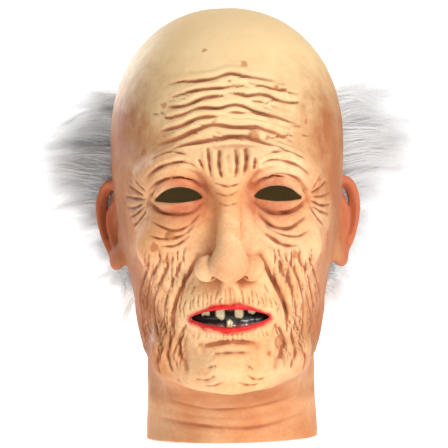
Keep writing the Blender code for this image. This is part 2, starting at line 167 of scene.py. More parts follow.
def oval(clay, centre, radii, blend, carve=False, turn=(0, 0, 0), pair=True):
    """An oval lump or hollow, turned about x, y and z. With pair, it comes on both sides of the face."""
    spin = Matrix.Identity(3)
    for axis, angle in zip("XYZ", turn):
        spin = Matrix.Rotation(math.radians(angle), 3, axis) @ spin
    rows = np.array(spin.transposed(), dtype=np.float32)
    for side in (1, -1) if pair else (1,):
        ovoid(clay, side, centre, radii, rows, blend, carve)


def rounded(points, parts=6):
    """More points along a smooth curve through the ones given."""
    table = np.array([(n, *point) for n, point in enumerate(points)], dtype=float)
    return eased(table, np.linspace(0, len(points) - 1, (len(points) - 1) * parts + 1))


def roll(clay, points, blend, carve=False, pair=True):
    """A roll of clay, or a gouge, along a curve. Each point is x, y, z and the roll's radius there."""
    curve = rounded(points)
    for side in (1, -1) if pair else (1,):
        line = curve * (side, 1, 1, 1)

        def tool(x, y, z, line=line):
            best = None
            for a, b in zip(line, line[1:]):
                step = b[:3] - a[:3]
                p = (x - a[0], y - a[1], z - a[2])
                t = np.clip(sum(p[n] * step[n] for n in range(3)) / max(step @ step, 1e-6), 0, 1)
                gap = np.sqrt(sum((p[n] - t * step[n]) ** 2 for n in range(3))) - (a[3] + (b[3] - a[3]) * t)
                best = gap if best is None else np.minimum(best, gap)
            return best

        reach = line[:, 3].max() + 1.5 * blend + 2 * GRAIN
        work(clay, line[:, :3].min(0) - reach, line[:, :3].max(0) + reach, tool, blend, carve)


def face_depth(clay, x, z):
    """Where the clay's front surface is at a place across and up."""
    column = clay[round((x - grid_x[0]) / GRAIN), :, round((z - grid_z[0]) / GRAIN)]
    first = max(int(np.argmax(column < 0)), 1)
    return grid_y[first - 1] + GRAIN * column[first - 1] / (column[first - 1] - column[first])


def laid(clay, points):
    """Points given as across, up, how deep they lie under the surface, and radius, put on the face."""
    return [(x, face_depth(clay, x, z) + sink, z, radius) for x, z, sink, radius in points]


clay = raw_head()

# brow, nose and the soft masses of an old face
roll(clay, laid(clay, [(6, 182, 3, 5), (20, 189, 2.5, 7), (37, 188, 2.5, 7), (54, 178, 4, 6)]), 9)
oval(clay, (33, -101, 169), (19, 12, 13), 9, carve=True)  # eye socket
oval(clay, (18, -97, 168), (7, 9, 11), 6, carve=True)  # and its inner corner
oval(clay, (0, -92, 183), (13, 9, 11), 9, pair=False)  # between the brows
bridge_line = [(0, -90, 172, 6.5), (0, -98, 154, 7), (0, -105, 138, 8), (0, -110, 124, 9)]
roll(clay, bridge_line, 7, pair=False)
oval(clay, (0, -111.5, 121.5), (12.5, 10.5, 11.5), 5, pair=False)  # tip of the nose
oval(clay, (14.5, -101, 119), (8.2, 10.5, 9), 3.4, turn=(0, 0, 12))  # its wings
roll(clay, [(0, -110, 114.5, 3.8), (0, -103, 112, 3.6), (0, -95, 110, 4)], 3.5, pair=False)
oval(clay, (42, -70, 133), (19, 18, 17), 11)  # cheekbone
oval(clay, (37, -69, 108), (12, 15, 19), 10, turn=(0, 12, 0))  # cheek
oval(clay, (0, -80, 91), (29, 17, 21), 12, pair=False)  # round the mouth
oval(clay, (0, -85, 55), (17, 13, 13), 9, pair=False)  # chin
oval(clay, (39, -55, 64), (14, 15, 14), 12)  # jowl

# the edge of the jaw, and the hollow under it
jaw_edge = [(53, -8, 88, 6), (49, -24, 69, 7), (40, -50, 54, 7), (22, -73, 47, 8), (0, -82, 45, 8)]
jaw_hollow = [(69, 14, 66, 5), (62, -16, 45, 8), (49, -44, 30, 11), (25, -64, 24, 13), (0, -72, 22, 14)]
roll(clay, jaw_edge, 12)
roll(clay, jaw_hollow, 14, carve=True)

# folds from the nose round the mouth, beside the chin and under the lip
for fold, blend, pair in (
    ([(20, 127, -0.6, 1.2), (27, 113, -0.6, 1.8), (34, 98, -0.6, 2.0), (37, 84, -0.4, 1.2)], 4, True),
    ([(30, 80, -0.3, 1.0), (33, 68, -0.5, 1.6), (30, 54, -0.3, 1.0)], 5, True),
    ([(-18, 68, -1, 1.5), (0, 71, -1, 2.6), (18, 68, -1, 1.5)], 5, False),
):
    roll(clay, laid(clay, fold), blend, carve=True, pair=pair)
# grooves round the wings of the nose, the ridges under it, and a copy to keep the hollow inside smooth
wing_groove = [(13, -104, 130, 1), (20.5, -99, 126, 1.6), (23, -95, 117, 1.6), (19, -97, 110.5, 1)]
roll(clay, wing_groove, 2.5, carve=True)
roll(clay, laid(clay, [(3.2, 107, 0.6, 1.5), (4.6, 99, 0.8, 1.5)]), 3)
room = clay.copy()

# the eyelids, the folds over them and the bags under them
oval(clay, (32, -80, 167), (15.5, 14, 12.5), 4)
upper_lid = [
    (15, 167, 1.5, 1.4), (22, 172.5, 0.8, 2.2), (33, 174.5, 0.8, 2.5), (43, 171.5, 1, 2.2), (50, 164, 2, 1.4)
]
brow_fold = [(17, 177, 2, 2), (27, 182, 1, 3.2), (39, 181.5, 0.8, 3.6), (51, 173, 1, 3), (54, 163, 2, 1.5)]
lower_lid = [
    (17, 165, 1.5, 1.3), (24, 160, 0.8, 1.9), (33, 158, 0.7, 2), (42, 160, 1, 1.8), (49, 164, 2, 1.3)
]
eye_bag = [(18, 157, 3, 2.5), (27, 151, 2, 4.4), (38, 149.5, 2, 4.4), (50, 156, 3, 2.5)]
for fold, blend in ((upper_lid, 2), (brow_fold, 3), (lower_lid, 2), (eye_bag, 4)):
    roll(clay, laid(clay, fold), blend)

# the lips
upper_lip = [
    (-26, 87, 2, 1.3), (-14, 91.5, 1, 2.3), (-4, 93.6, 0.8, 2.7), (0, 92.9, 0.8, 2.4),
    (4, 93.6, 0.8, 2.7), (14, 91.5, 1, 2.3), (26, 87, 2, 1.3),
]
lower_lip = [
    (-25, 86, 2, 1.5), (-13, 81.6, 0.6, 2.8), (0, 80.2, 0.3, 3.4), (13, 81.6, 0.6, 2.8), (25, 86, 2, 1.5)
]
for lip in (upper_lip, lower_lip):
    roll(clay, laid(clay, lip), 2, pair=False)

# the ears, in their own frame: back along the leaf, up it, and out of it
EAR_HINGE = Vector((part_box("head_skin")[1][0] / MM - 14.5, 12, 148))
leaf_back = Vector((math.sin(math.radians(32)), math.cos(math.radians(32)), 0))
leaf_up = Vector((0, math.sin(math.radians(10)), math.cos(math.radians(10))))
leaf_out = leaf_back.cross(leaf_up).normalized()
leaf = Matrix((leaf_back, leaf_up, leaf_out)).transposed()


def on_leaf(u, v, w):
    """A place in the ear's own frame, given in the head's."""
    return EAR_HINGE + leaf @ Vector((u, v, w))


def ear_oval(centre, radii, blend, carve=False):
    """An oval lump or hollow on both ears."""
    rows = np.array(leaf.transposed(), dtype=np.float32)
    for side in (1, -1):
        ovoid(clay, side, on_leaf(*centre), radii, rows, blend, carve)


def ear_roll(points, blend, carve=False):
    """A roll of clay, or a gouge, on both ears."""
    roll(clay, [(*on_leaf(u, v, w), radius) for u, v, w, radius in points], blend, carve)


ear_rim = [
    (-6, 3, 0, 2), (-12, 9, 2, 2.6), (-12, 19, 3, 3), (-4, 28, 3.5, 3.1), (8, 28, 4, 3), (16, 20, 4.5, 3),
    (18, 8, 4.5, 2.9), (16, -4, 3.5, 2.7), (12, -14, 2, 2.5), (6, -21, 1, 2.5),
]
rim_back = [
    (-12, 16, -0.5, 2.6), (-5, 27, 0, 2.6), (8, 27.5, 0.5, 2.6), (16, 20, 1, 2.6),
    (18, 8, 1, 2.6), (16, -4, 0.5, 2.5), (12, -14, 0, 2.4),
]
rim_groove = [
    (-4, 22, 2.5, 1.6), (5, 22, 3.2, 2.2), (11.5, 14, 3.6, 2.3), (13, 3, 3.4, 2.2), (10.5, -8, 2.2, 1.6)
]
inner_ridge = [(-7, 17, 1.5, 2), (0, 15, 2.2, 2.6), (6, 8, 2.8, 2.8), (7, -2, 2.6, 2.7), (3, -12, 2, 2.4)]
ear_oval((2, 1, -1), (15.5, 27.5, 3.6), 3)  # leaf
ear_oval((-11, -2, -4), (7, 20, 9), 6)  # root
ear_oval((0, -23, 0.5), (9, 8.5, 4), 4)  # lobe
ear_roll(ear_rim, 1.6)
ear_roll(rim_back, 2.5)
ear_roll(rim_groove, 1.5, carve=True)
ear_roll(inner_ridge, 2)
ear_oval((-2.5, -3, 6), (8, 12, 7), 2, carve=True)  # bowl
ear_oval((-10.5, -5, 2.5), (3, 5.5, 3.6), 2)  # flap in front of the bowl
ear_oval((0, 1, -3.6), (15.5, 26, 3), 2)  # back of the leaf
np.minimum(clay, room, out=clay)  # no gouge goes through the wall of the head

# the hollow for the wearer's head, then the openings
skin = np.maximum(clay, -(room + WALL))
SLIT_END = -60.0  # a slit goes through the front wall and stops here


def slit(field, line, soft, pair=True):
    """Cuts a slit through the front. Each point is across, up, and half the slit's height there."""
    curve = rounded(line)
    for side in (1, -1) if pair else (1,):

        def tool(x, y, z, side=side):
            best = np.float32(1e3)
            for a, b in zip(curve, curve[1:]):
                run, rise = b[0] - a[0], b[1] - a[1]
                t = np.clip(((side * x - a[0]) * run + (z - a[1]) * rise) / (run * run + rise * rise), 0, 1)
                gap = np.hypot(side * x - a[0] - t * run, z - a[1] - t * rise) - (a[2] + (b[2] - a[2]) * t)
                best = np.minimum(best, gap)
            return np.maximum(best, y - SLIT_END)

        reach = curve[:, 2].max() + 2 * soft + 2
        ends = sorted((side * curve[:, 0].min(), side * curve[:, 0].max()))
        low = (ends[0] - reach, grid_y[1], curve[:, 1].min() - reach)
        high = (ends[1] + reach, SLIT_END + 2, curve[:, 1].max() + reach)
        work(field, low, high, tool, soft, carve=True)


eye_slit = [(17.5, 165, 0.6), (23, 166.5, 3.6), (31, 167, 5.2), (39, 166.2, 4.4), (47.5, 163.8, 0.7)]
mouth_slit = [(-25, 86.6, 0.6), (-14, 86.6, 4.2), (0, 86.4, 5.6), (14, 86.6, 4.2), (25, 86.6, 0.6)]
slit(skin, eye_slit, 1.2)
roll(skin, [(8.4, -106, 106.5, 3.8), (7.8, -103, 114, 3.7), (6.5, -94, 125, 3)], 1.6, carve=True)
slit(skin, mouth_slit, 1.2, pair=False)
np.maximum(skin, -grid_z[None, None, :], out=skin)


def meshed(field):
    """Points and four-sided faces over the zero level of a field on the grid."""
    inside = field < 0
    whole = [n - 1 for n in field.shape]
    corners = np.array([(i, j, k) for i in (0, 1) for j in (0, 1) for k in (0, 1)])
    count = np.zeros(whole, np.int8)
    for corner in corners:
        count += inside[tuple(slice(c, c + n) for c, n in zip(corner, whole))]
    mixed = (count > 0) & (count < 8)
    cells = np.argwhere(mixed)
    number = np.full(whole, -1, np.int32)
    number[mixed] = np.arange(len(cells))
    total, hits = np.zeros((len(cells), 3)), np.zeros(len(cells))
    for corner in corners:
        for axis in range(3):
            if corner[axis]:
                continue
            step = np.eye(3, dtype=int)[axis]
            a = field[tuple((cells + corner).T)]
            b = field[tuple((cells + corner + step).T)]
            cross = (a < 0) != (b < 0)
            t = np.where(cross, a / np.where(a == b, 1, a - b), 0)
            total += cross[:, None] * (corner + t[:, None] * step)
            hits += cross
    points = (cells + total / hits[:, None]) * GRAIN + (grid_x[0], grid_y[0], grid_z[0])
    faces = []
    for axis in range(3):
        first, second = (axis + 1) % 3, (axis + 2) % 3
        step = np.eye(3, dtype=int)
        near = tuple(slice(0, -1) if n == axis else slice(1, -1) for n in range(3))
        far = tuple(slice(1, None) if n == axis else slice(1, -1) for n in range(3))
        change = np.argwhere(inside[near] != inside[far]) + step[first] + step[second]
        quads = np.stack(
            [
                number[tuple((change - a * step[first] - b * step[second]).T)]
                for a, b in ((0, 0), (1, 0), (1, 1), (0, 1))
            ],
            axis=1,
        )
        outward = inside[tuple(change.T)]
        quads[~outward] = quads[~outward][:, ::-1]
        faces.append(quads)
    return points, np.concatenate(faces)


def make_mesh(name, points, faces):
    """A Blender mesh from arrays, in metres, shaded smooth."""
    sides = faces.shape[1]
    mesh = bpy.data.meshes.new(name)
    mesh.vertices.add(len(points))
    mesh.vertices.foreach_set("co", np.ascontiguousarray(points, np.float32).ravel())
    mesh.loops.add(faces.size)
    mesh.loops.foreach_set("vertex_index", np.ascontiguousarray(faces, np.int32).ravel())
    mesh.polygons.add(len(faces))
    mesh.polygons.foreach_set("loop_start", np.arange(0, faces.size, sides, dtype=np.int32))
    mesh.update(calc_edges=True)
    mesh.shade_smooth()
    made = bpy.data.objects.new(name, mesh)
    bpy.context.scene.collection.objects.link(made)
    return made


def relaxed(points, edges, passes, strength=0.5):
    """The points, each drawn towards its neighbours a number of times."""
    ends = np.concatenate([edges, edges[:, ::-1]])
    ties = np.bincount(ends[:, 0], minlength=len(points))[:, None]
    for _ in range(passes):
        pull = np.stack(
            [np.bincount(ends[:, 0], points[ends[:, 1], n], len(points)) for n in range(3)], axis=1
        )
        points = points + strength * (pull / ties - points)
    return points


def store(made, name, values):
    """Stores one value at each point of a mesh, for its finish to read."""
    layer = made.data.attributes.new(name, "FLOAT", "POINT")
    layer.data.foreach_set("value", values.astype(np.float32))


def normals_of(mesh):
    """The way out of the mesh at each of its points."""
    found = np.empty(len(mesh.vertices) * 3, np.float32)
    mesh.vertex_normals.foreach_get("vector", found)
    return found.reshape(-1, 3).astype(float)


points, faces = meshed(skin)
casting = make_mesh("latex_skin", points * MM, faces)
edges = np.empty(len(casting.data.edges) * 2, np.int32)
casting.data.edges.foreach_get("vertices", edges)
edges = edges.reshape(-1, 2)
points = relaxed(points, edges, 4)
casting.data.vertices.foreach_set("co", (points * MM).astype(np.float32).ravel())
casting.data.update()
normals = normals_of(casting.data)

# how deep each point lies in the clay: the inside of the wall gets no wrinkles and no paint
cell = tuple(
    np.clip(((points[:, n] + 1.2 * normals[:, n] - grids[n][0]) / GRAIN).astype(int), 0, len(grids[n]) - 1)
    for n in range(3)
)
buried = clay[cell]
outside = (buried > 0.2).astype(float)
painted = np.clip((buried + 1.9) / 0.8, 0, 1)

# Wrinkles, drawn over the front with a ball tool. Each is a curve of places across and up, then its width and
# depth. A crease is darkened by the wash of paint that settles in it.
surface = BVHTree.FromPolygons([Vector(p) for p in points], faces.tolist())
wash, sink, spots = np.zeros((3, len(points)))


def on_face(x, z):
    """The place of a crease's point on the casting."""
    hit = surface.ray_cast(Vector((x, -200, z)), Vector((0, 1, 0)))[0]
    if hit is None or hit.y > -5:
        hit = surface.find_nearest(Vector((x, -88 + 0.011 * x * x, z)))[0]
    return hit


def crease(line, width, depth, dark=1.0):
    """Presses one crease into the casting, with the soft ridges it raises on both sides."""
    curve = np.array([on_face(x, z) for x, z in rounded(line, 8)])
    low, high = curve.min(0) - 4 * width, curve.max(0) + 4 * width
    near = np.flatnonzero(np.all((points > low) & (points < high), axis=1) & (outside > 0))
    if not len(near):
        return
    best, along = np.full(len(near), 1e9), np.zeros(len(near))
    for n, (a, b) in enumerate(zip(curve, curve[1:])):
        step = b - a
        t = np.clip((points[near] - a) @ step / max(step @ step, 1e-9), 0, 1)
        gap = np.linalg.norm(points[near] - a - t[:, None] * step, axis=1)
        along = np.where(gap < best, (n + t) / (len(curve) - 1), along)
        best = np.minimum(best, gap)
    fade = (1 - np.abs(2 * along - 1) ** 3) * (0.8 + 0.2 * np.sin(19 * along + 40 * width))
    groove = np.exp(-((best / width) ** 2))
    ridge = np.exp(-(((best - 2.3 * width) / (1.25 * width)) ** 2))
    sink[near] += fade * depth * (0.75 * ridge - groove)
    wash[near] = np.maximum(wash[near], dark * fade * np.exp(-((best / (0.9 * width)) ** 2)))


chance = np.random.default_rng(7)


def creases(lines, width, depth, dark=1.0, pair=True):
    """A set of creases on both sides of the face, none quite like its twin."""
    for line in lines:
        for side in (1, -1) if pair else (1,):
            drawn = np.array(line, float) + chance.normal(0, 0.5, (len(line), 2))
            drawn[:, 0] *= side
            size = chance.uniform(0.7, 1.05)
            crease(drawn, width * size, depth * size, dark * chance.uniform(0.55, 1.0))


for level in range(7):  # the forehead, in long arches that follow the brow and break off unevenly
    height = 199 + 7.2 * level + chance.normal(0, 0.8)
    first, last = -50 + 2 * level + chance.uniform(-6, 8), 50 - 2 * level + chance.uniform(-8, 6)
    line = [
        (x, height + 5.5 * math.cos(x / 24) * (1 - level / 9) - 0.0022 * x * x + chance.normal(0, 0.9))
        for x in np.linspace(first, last, 8)
    ]
    if level in (2, 4, 5):
        cut = 4 + level % 2
        creases([line[:cut], [(x + 3, z + 2.5) for x, z in line[cut - 1 :]]], 1.35, 1.5, 0.95, pair=False)
    else:
        creases([line], 1.5, 1.7, 1.0, pair=False)
for _ in range(46):  # short ticks that join the long ones
    x, z = chance.uniform(-50, 50), chance.uniform(200, 244)
    reach = chance.uniform(4, 10)
    creases([[(x, z), (x + reach, z + chance.normal(0, 1.8))]], 0.9, 0.6, 0.7, pair=False)
frown = [[(4.5, 176), (6, 185), (5, 196)], [(10.5, 178), (12.5, 187), (11.5, 197)], [(16, 182), (18, 190)]]
creases(frown, 1.5, 1.8)
bridge = [
    [(-9, 174), (0, 171.5), (9, 174)], [(-8, 168), (0, 166), (8, 168)], [(-8, 161.5), (0, 160), (8, 161.5)]
]
creases(bridge, 1.1, 0.7, 0.8, pair=False)
for n in range(6):  # the fan beside each eye
    angle = math.radians(58 - 22 * n)
    start = (53 + 1.5 * math.cos(angle), 163 + 7 * math.sin(angle))
    end = (start[0] + 14 * math.cos(angle * 0.9), start[1] + 15 * math.sin(angle * 0.9))
    creases([[start, ((start[0] + end[0]) / 2, (start[1] + end[1]) / 2 - 1.2), end]], 1.2, 1.2)
under_eye = [
    [(17, 162), (24, 156), (33, 153.8), (43, 156), (50, 161)],
    [(18, 155), (26, 146.5), (38, 144), (51, 150)],
    [(21, 147.5), (31, 140), (44, 138.5), (53, 142)],
    [(24, 141), (34, 134), (45, 133)],
]
creases(under_eye, 1.25, 1.4)
over_eye = [
    [(17, 171.5), (24, 177.6), (34, 179), (46, 175.5), (52, 169)],
    [(20, 185), (30, 188), (44, 185.5), (54, 178)],
    [(26, 193), (38, 194.5), (50, 190)],
]
creases(over_eye, 1.25, 1.3)
creases([[(20, 128), (27, 114), (34, 99), (37.5, 86), (36, 75)]], 1.9, 2.0)
cheek = [
    [(29, 128), (36, 113), (42, 98), (43, 84), (41, 74)],
    [(36, 128), (44, 113), (49, 97), (49, 82), (45, 69)],
    [(44, 127), (51, 113), (55, 97), (54, 81), (50, 70)],
    [(51, 126), (57, 111), (60, 96), (58, 80)],
]
creases(cheek, 1.45, 1.4, 0.95)
for _ in range(90):  # fine lines down the cheeks
    x, z = chance.uniform(28, 57), chance.uniform(66, 136)
    lean, reach = 0.32 * (130 - z) / 50, chance.uniform(7, 16)
    line = [(x, z), (x + lean * reach * 0.5 + 0.8, z - reach / 2), (x + lean * reach * 0.6, z - reach)]
    creases([line], 0.85, 0.6, 0.8)
jowl = [[(31, 81), (34, 70), (32, 57)], [(38, 76), (42, 64), (39, 51)], [(45, 70), (49, 59), (47, 48)]]
creases(jowl, 1.5, 1.5)
creases([[(-17, 69), (0, 71), (17, 69)], [(-12, 63.5), (0, 65), (12, 63.5)]], 1.6, 1.3, 0.9, pair=False)
for n in range(9):  # short lines that run into the lips
    x, z = 2.5 + 2.9 * n + chance.normal(0, 0.7), 98 - 0.55 * n
    creases([[(x, z + chance.uniform(2.5, 11)), (x + 0.8, z + 2), (x + 0.5, z - 2)]], 0.8, 0.55, 0.6)
    line = [(0.9 * x, 76 + 0.4 * n), (0.93 * x, 74), (x, 73 - chance.uniform(0, 4) + 0.6 * n)]
    creases([line], 0.7, 0.45, 0.5)
chin = [[(10, 50), (16, 46.5), (24, 47)], [(4, 45), (12, 42.5), (20, 43)], [(9, 56), (15, 53)]]
creases(chin, 1.2, 0.7, 0.6)
creases([[(22, 108), (25, 102)], [(24, 119), (29, 112)]], 1.1, 0.6, 0.6)
neck = [[(-46, 31), (-20, 25), (0, 23), (22, 26), (47, 33)], [(-50, 17), (-18, 12), (16, 11), (50, 19)]]
creases(neck, 2.2, 1.1, 0.35, pair=False)

# age spots, flat and painted, and three moles that stand up: place across and up, and size
for x, z, size in (
    (-41, 226, 2.6), (33, 236, 2.1), (12, 252, 2.8), (-14, 262, 2.0), (52, 214, 2.4), (-55, 196, 3.0),
    (-62, 214, 1.9), (60, 176, 2.2), (-49, 133, 3.4), (-41, 124, 2.6), (-53, 121, 2.2), (44, 127, 3.1),
    (54, 116, 2.0), (-20, 69, 2.2), (25, 62, 2.6), (47, 92, 2.1), (-57, 98, 2.7), (-8, 214, 1.8),
    (26, 203, 2.3), (66, 140, 2.2), (-34, 44, 2.0),
):
    gap = np.linalg.norm(points - np.array(on_face(x, z)), axis=1)
    near = np.flatnonzero(gap < size + 3)
    ragged = np.array([noise(points[n] * 0.4) for n in near])
    cover = np.clip((size - gap[near] + 1.6 * ragged) / 0.9, 0, 1) * outside[near]
    spots[near] = np.maximum(spots[near], cover)
for x, z, size in ((17, 205, 2.7), (-38, 140, 2.4), (31, 70, 2.9)):
    gap = np.linalg.norm(points - np.array(on_face(x, z)), axis=1)
    sink += 0.75 * size * np.exp(-((gap / size) ** 4)) * outside
    spots = np.maximum(spots, np.clip((size + 0.7 - gap) / 0.8, 0, 1) * outside)
    wash = np.maximum(wash, 0.45 * np.exp(-(((gap - size - 0.9) / 0.6) ** 2)) * outside)

points = points + sink[:, None] * normals
# a fine uneven surface, as clay keeps from the sculptor's tools
uneven = np.array([noise(Vector(p) * 0.11) + 0.5 * noise(Vector(p) * 0.31) for p in points])
points = points + (0.16 * uneven * outside)[:, None] * normals

# what the paint follows: how deep each point lies below its surroundings
hollow = np.zeros(len(points))
for passes, strength in ((6, 0.9), (40, 0.35)):
    depth = ((relaxed(points, edges, passes) - points) * normals).sum(1)
    hollow += strength * np.clip(depth, -0.5, 1.5)


px, py, pz = points.T


def held(values):
    """Values kept between 0 and 1."""
    return np.clip(values, 0, 1)


def near_spot(x, y, z, rx, rz, ry=30):
    """1 at a place on the casting, falling off over its reach, on both sides of the face."""
    gap = ((np.abs(px) - x) / rx) ** 2 + ((pz - z) / rz) ** 2
    return np.exp(-gap) * np.exp(-(((py - y) / ry) ** 2))


# where each colour goes: lips, a flush at the eyes, nose and ears, an airbrushed brown round the edge that is
# also painted shade at the temples, ears and jaw, and a painted shadow under the jaw
lips = np.zeros(len(points))
for line, reach in (
    ([(-25, 87), (-14, 91.5), (-4, 94), (0, 93.2), (4, 94), (14, 91.5), (25, 87)], 2.0),
    ([(-24.5, 86), (-13, 81.5), (0, 79.8), (13, 81.5), (24.5, 86)], 2.8),
):
    gap = np.min([np.hypot(px - x, pz - z) for x, z in rounded(line, 8)], axis=0)
    lips = np.maximum(lips, held(1.7 - gap / reach + 0.5 * uneven) * (py < -84) * painted)
flush = 1.25 * near_spot(31, -90, 157, 18, 10) + 1.1 * near_spot(30, -92, 174, 15, 6)
flush = flush + near_spot(17, -96, 166, 5, 10)
flush += 0.8 * near_spot(0, -112, 120, 16, 10, 12) + 0.35 * near_spot(46, -70, 128, 20, 18)
flush += 1.5 * held((np.abs(px) - 76) / 5) * (pz < 184) * (pz > 112)
tan = held((222 - pz + 8 * uneven) / 34) * held((70 - py) / 40)
# the airbrushed brown is partly painted shade: it reaches further forward at the temples and low on the jaw
edge = 74 + 16 * held((pz - 150) / 30) + 12 * held((104 - pz) / 30) + 8 * uneven
airbrush_and_shade = held((py + edge) / 38) * held((260 - pz + 6 * uneven) / 40)
airbrush_and_shade *= held((52 - py) / 40) * (0.55 + 0.45 * held((pz - 30) / 30))
# a painted shadow under the jaw, where the chin shades the neck
painted_jaw_shadow = np.exp(-(((pz - 34) / 15) ** 2)) * held((py + 84) / 14)
airbrush_and_shade = np.maximum(airbrush_and_shade, 0.8 * painted_jaw_shadow * held((40 - py) / 40))

for name, values in (
    ("wash", held(wash)),
    ("hollow", np.clip(hollow, -1, 2)),
    ("lips", lips),
    ("flush", np.clip(flush, 0, 1.4)),
    ("tan", tan),
    ("airbrush_and_shade", airbrush_and_shade),
    ("spots", spots),
    ("painted", painted),
):
    store(casting, name, values)
points[:, 1] += BACK_SHIFT
casting.data.vertices.foreach_set("co", (points * MM).astype(np.float32).ravel())
casting.data.update()


class Tone:
    """A value or colour in a finish. Sums and products of tones add the nodes that work them out."""

    def __init__(self, tree, socket):
        self.tree, self.socket = tree, socket

    def node(self, kind, settings=None, values=None, out=0):
        """Any node: its settings first, then the values or tones of its sockets."""
        made = self.tree.nodes.new(kind)
        for key, value in (settings or {}).items():
            setattr(made, key, value)
        for key, value in (values or {}).items():
            if isinstance(value, Tone):
                self.tree.links.new(value.socket, made.inputs[key])
            else:
                made.inputs[key].default_value = value
        return Tone(self.tree, made.outputs[out])

    def sum_of(self, operation, *values, clamp=False):
        """A Math node on tones or numbers."""
        settings = {"operation": operation, "use_clamp": clamp}
        return self.node("ShaderNodeMath", settings, dict(enumerate(values)))

    def __add__(self, other):
        return self.sum_of("ADD", self, other)

    def __sub__(self, other):
        return self.sum_of("SUBTRACT", self, other)

    def __rsub__(self, other):
        return self.sum_of("SUBTRACT", other, self)

    def __mul__(self, other):
        return self.sum_of("MULTIPLY", self, other)

    def __pow__(self, other):
        return self.sum_of("POWER", self, other)

    __radd__, __rmul__ = __add__, __mul__

    def held(self):
        """The value kept between 0 and 1."""
        return self.sum_of("ADD", self, 0.0, clamp=True)


def finish(name, **constants):
    """A new material: its shader, and a tone to start its tree from."""
    made = bpy.data.materials.new(name)
    made.use_nodes = True
    shader = made.node_tree.nodes["Principled BSDF"]
    for key, value in constants.items():
        shader.inputs[key.replace("_", " ")].default_value = value
    return made, shader, Tone(made.node_tree, None)


def feed(tone, shader, socket):
    """Leads a tone into one socket of a shader."""
    tone.tree.links.new(tone.socket, shader.inputs[socket])


def relief(shader, strength, distance, height):
    """Fine relief on a finish, from a height in its tree."""
    values = {"Strength": strength, "Distance": distance, "Height": height}
    feed(height.node("ShaderNodeBump", {}, values), shader, "Normal")


latex, shader, start = finish("painted_latex", Subsurface_Weight=0.05, Subsurface_Scale=0.004, IOR=1.45)
shader.inputs["Specular IOR Level"].default_value = 0.2
shader.inputs["Subsurface Radius"].default_value = (1.0, 0.45, 0.25)
place = start.node("ShaderNodeTexCoord", out=3)


def read(name):
    """What was stored on the mesh under this name."""
    return start.node("ShaderNodeAttribute", {"attribute_name": name}, out=2)


def mottle(scale, detail=4.0, roughness=0.6):
    """Cloudy unevenness in the finish being made."""
    values = {"Vector": place, "Scale": scale, "Detail": detail, "Roughness": roughness}
    return start.node("ShaderNodeTexNoise", {}, values)


def coat(colour, below, cover):
    """A coat of paint over what is there."""
    values = {"Factor": cover, 6: below, 7: colour}
    return start.node("ShaderNodeMix", {"data_type": "RGBA"}, values, out=2)


# the paints
CREAM, SAND = (0.90, 0.67, 0.38, 1), (0.83, 0.56, 0.27, 1)
PEACH, APRICOT = (0.92, 0.58, 0.31, 1), (0.82, 0.36, 0.14, 1)
FLUSH_RED, BLOTCH_ORANGE = (0.52, 0.13, 0.06, 1), (0.70, 0.26, 0.08, 1)
# the airbrush brown is also painted shade round the edge of the face and painted shadow under the jaw
AIRBRUSH_AND_SHADE_BROWN, CRACK_BROWN = (0.37, 0.11, 0.034, 1), (0.45, 0.16, 0.06, 1)
RECESS_BROWN = (0.42, 0.12, 0.045, 1)
CREASE_BROWN, SPOT_BROWN = (0.11, 0.026, 0.009, 1), (0.44, 0.14, 0.04, 1)
DEEP_RED, LIP_RED = (0.40, 0.012, 0.012, 1), (0.80, 0.035, 0.03, 1)
BARE_LATEX = (0.80, 0.68, 0.47, 1)

broad = mottle(26.0)
fine = mottle(150.0)
grain = mottle(700.0, 3.0)
scalp = coat(SAND, CREAM, broad)
face = coat(APRICOT, PEACH, (broad * 3.2 - 1.25).held())
skin_paint = coat(face, scalp, read("tan") * 0.9)
# the airbrushed brown round the edge, partly painted shade, with the painted shadow under the jaw
airbrush_and_shade_cover = (read("airbrush_and_shade") * (0.5 + 0.9 * broad)).held()
skin_paint = coat(AIRBRUSH_AND_SHADE_BROWN, skin_paint, airbrush_and_shade_cover * 0.92)
skin_paint = coat(FLUSH_RED, skin_paint, (read("flush") * (0.3 + 0.9 * fine)).held() * 0.88)
mottled = mottle(75.0, 5.0, 0.7)
skin_paint = coat(BLOTCH_ORANGE, skin_paint, ((mottled - 0.54) * 4.5 * read("tan")).held() * 0.5)
# a net of fine cracks, bent out of its regular cells
drift = start.node("ShaderNodeTexNoise", {}, {"Vector": place, "Scale": 120.0, "Detail": 3.0}, out=1)
bend = {0: drift, 1: (0.009,) * 3, 2: place}
bent = start.node("ShaderNodeVectorMath", {"operation": "MULTIPLY_ADD"}, bend)
cells = {"Vector": bent, "Scale": 300.0, "Randomness": 1.0}
net = start.node("ShaderNodeTexVoronoi", {"feature": "DISTANCE_TO_EDGE"}, cells)
cracks = ((0.10 - net) * 9.0).held() * read("tan")
skin_paint = coat(CRACK_BROWN, skin_paint, cracks * (mottled * 2.2 - 0.6).held() * 0.42)
recess = (read("hollow") * 2.0 + (fine - 0.5) * 0.45).held()
skin_paint = coat(RECESS_BROWN, skin_paint, recess * 0.85)
lines = (read("wash") ** 1.4 * (0.55 + 1.1 * fine)).held()
skin_paint = coat(CREASE_BROWN, skin_paint, lines * 0.9)
skin_paint = coat(SPOT_BROWN, skin_paint, (read("spots") * (0.5 + 0.6 * fine)).held() * 0.85)
lip_cover = (read("lips") * (0.75 + 0.7 * fine)).held()
skin_paint = coat(coat(DEEP_RED, LIP_RED, fine), skin_paint, lip_cover)
skin_paint = coat(skin_paint, BARE_LATEX, read("painted"))
feed(skin_paint, shader, "Base Color")
feed(0.54 + 0.25 * (fine - 0.5) - 0.22 * lip_cover - 0.08 * recess, shader, "Roughness")
height = 0.45 * fine + 0.3 * grain + (net * 5.0).held() * 0.22 * read("tan")
relief(shader, 0.4, 0.0007, height)
casting.data.materials.append(latex)
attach(casting, "root")
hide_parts("head_skin")

# ------------------------------------------------------------
# The mouth tray: a thin latex pan glued in behind the lips, with an upper and a lower gum. It is painted
# gloss black in the hollow and mauve on the gums.


